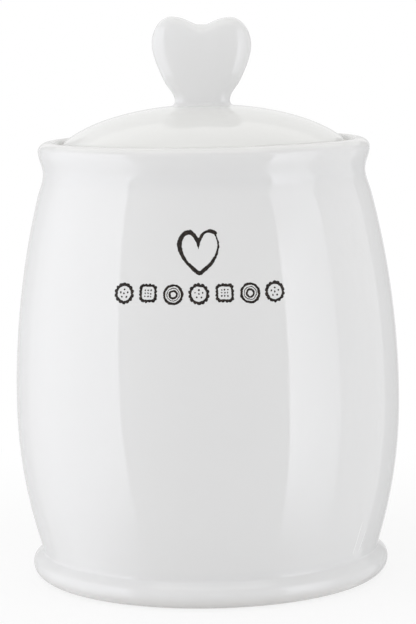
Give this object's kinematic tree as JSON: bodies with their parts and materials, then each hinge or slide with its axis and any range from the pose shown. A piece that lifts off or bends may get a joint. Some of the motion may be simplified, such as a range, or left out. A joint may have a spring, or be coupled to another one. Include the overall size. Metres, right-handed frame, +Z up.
{
  "type": "biscuit jar",
  "caption": "Barrel-shaped glazed biscuit jar with a base band and flared rim, and a lift-off domed lid with a heart-shaped knob and a soft seal ring.",
  "frame": {"origin": "centre of the flat foot ring that the jar stands on, on the jar's axis", "axes": "+Z up along the jar's axis; -Y towards the front, where the heart of the knob faces; +X to the right seen from the front"},
  "size_m": [0.155, 0.155, 0.225],
  "materials": {
    "white_glaze": "gloss",
    "seal_silicone": "matte",
    "print_ink": "gloss"
  },
  "bodies": {
    "jar": {"jar_body": "white_glaze"},
    "seal": {"lid_seal": "seal_silicone"},
    "lid": {"lid": "white_glaze", "heart_knob": "white_glaze"}
  },
  "joints": [
    {"name": "lid_lift", "type": "slide", "parent": "jar", "child": "seal", "axis": [0, 0, 1], "range_m": [0, 0.12]},
    {"name": "lid_turn", "type": "hinge", "parent": "seal", "child": "lid", "pos_m": [0, 0, 0.1715], "axis": [0, 0, 1], "continuous": true}
  ]
}
